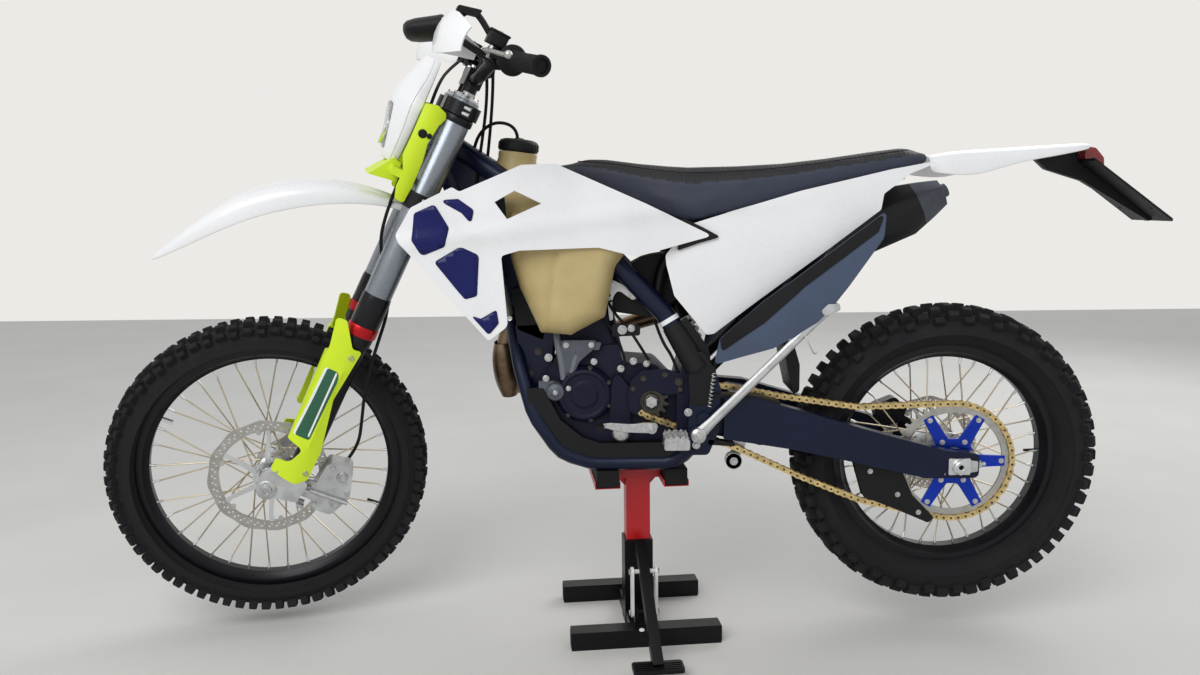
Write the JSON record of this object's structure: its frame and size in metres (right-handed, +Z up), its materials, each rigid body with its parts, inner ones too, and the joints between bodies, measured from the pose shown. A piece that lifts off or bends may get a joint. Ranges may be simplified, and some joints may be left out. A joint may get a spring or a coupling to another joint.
{
  "type": "dirt bike on a lift stand",
  "caption": "Off-road motorcycle with knobbly tyres, long-travel fork and swingarm, held clear of the floor by a foot-operated lift stand under its frame.",
  "frame": {"origin": "middle of the lift stand's base, on the floor", "axes": "+X to the rear along the bike, +Y to its right-hand side, +Z up"},
  "size_m": [2.2746, 0.8118, 1.3881],
  "materials": {
    "frame_blue": "dark blue satin paint",
    "stand_red": "red powder coat",
    "stand_black": "black powder coat",
    "pad_rubber": "matt black rubber",
    "tyre_black": "matt knobbly rubber",
    "grip_black": "soft black rubber",
    "engine_grey": "dark grey cast cases",
    "cast_silver": "cast aluminium",
    "steel": "bare steel",
    "header_bronze": "heat-coloured steel",
    "silencer_black": "black can",
    "white_plastic": "white moulded plastic",
    "grey_plastic": "slate grey plastic",
    "black_plastic": "black moulded plastic",
    "yellow_plastic": "fluorescent yellow plastic",
    "tank_plastic": "translucent fuel-stained plastic",
    "seat_cover": "ribbed navy and black cover",
    "fork_silver": "anodised grey-silver tube",
    "fork_black": "black coated tube",
    "rim_black": "black anodised rim",
    "spoke_silver": "warm silver hub and spokes",
    "disc_steel": "ground steel",
    "chain_gold": "gold plated plates",
    "sprocket_blue": "blue anodised",
    "radiator_grey": "aluminium core",
    "lens_clear": "clear lens",
    "lamp_red": "red lens",
    "fuel_cap_black": "black cap"
  },
  "bodies": {
    "frame": {"stand_base": "stand_black", "stand_column": "stand_red", "stand_pads": "pad_rubber", "stand_lever": "stand_black", "main_frame": "frame_blue", "subframe": "black_plastic", "engine_block": "engine_grey", "engine_covers": "engine_grey", "exhaust_header": "header_bronze", "silencer": "silencer_black", "radiators": "radiator_grey", "fuel_tank": "tank_plastic", "filler_cap": "fuel_cap_black", "seat": "seat_cover", "shrouds": "white_plastic", "side_panels": "white_plastic", "subframe_covers": "grey_plastic", "rear_fender": "white_plastic", "plate_bracket": "black_plastic", "tail_light": "lamp_red", "swingarm": "frame_blue", "rear_axle": "steel", "shock": "steel", "rear_caliper": "cast_silver", "drive_sprocket": "steel", "chain": "chain_gold", "chain_guide": "black_plastic", "footpegs": "steel", "foot_controls": "cast_silver"},
    "side_stand": {"side_stand": "steel"},
    "steering": {"fork_clamps": "cast_silver", "fork_outers": "fork_silver", "fork_lowers": "fork_black", "front_axle": "steel", "fork_guards": "yellow_plastic", "front_caliper": "cast_silver", "handlebar": "stand_black", "grips": "grip_black", "hand_guards": "white_plastic", "headlight_mask": "white_plastic", "headlight": "lens_clear", "mask_brackets": "yellow_plastic", "front_fender": "white_plastic"},
    "front_wheel": {"front_tyre": "tyre_black", "front_rim": "rim_black", "front_hub": "spoke_silver", "front_disc": "disc_steel"},
    "rear_wheel": {"rear_tyre": "tyre_black", "rear_rim": "rim_black", "rear_hub": "spoke_silver", "rear_disc": "disc_steel", "rear_sprocket": "sprocket_blue"}
  },
  "joints": [
    {"name": "steering", "type": "hinge", "parent": "frame", "child": "steering", "pos_m": [-0.448, 0, 1], "axis": [0.4462, 0, 0.8949], "range_deg": [-57.5, 26.5]},
    {"name": "front_wheel_spin", "type": "hinge", "parent": "steering", "child": "front_wheel", "pos_m": [-0.82026, -0.0147, 0.37214], "axis": [-0.2392, 0.9636, 0.1192], "continuous": true},
    {"name": "rear_wheel_spin", "type": "hinge", "parent": "frame", "child": "rear_wheel", "pos_m": [0.678, 0, 0.391], "axis": [0, 1, 0], "continuous": true},
    {"name": "side_stand", "type": "hinge", "parent": "frame", "child": "side_stand", "pos_m": [0.126, -0.139, 0.466], "axis": [-0.049, 0.9945, -0.0923], "range_deg": [0, 137]}
  ]
}
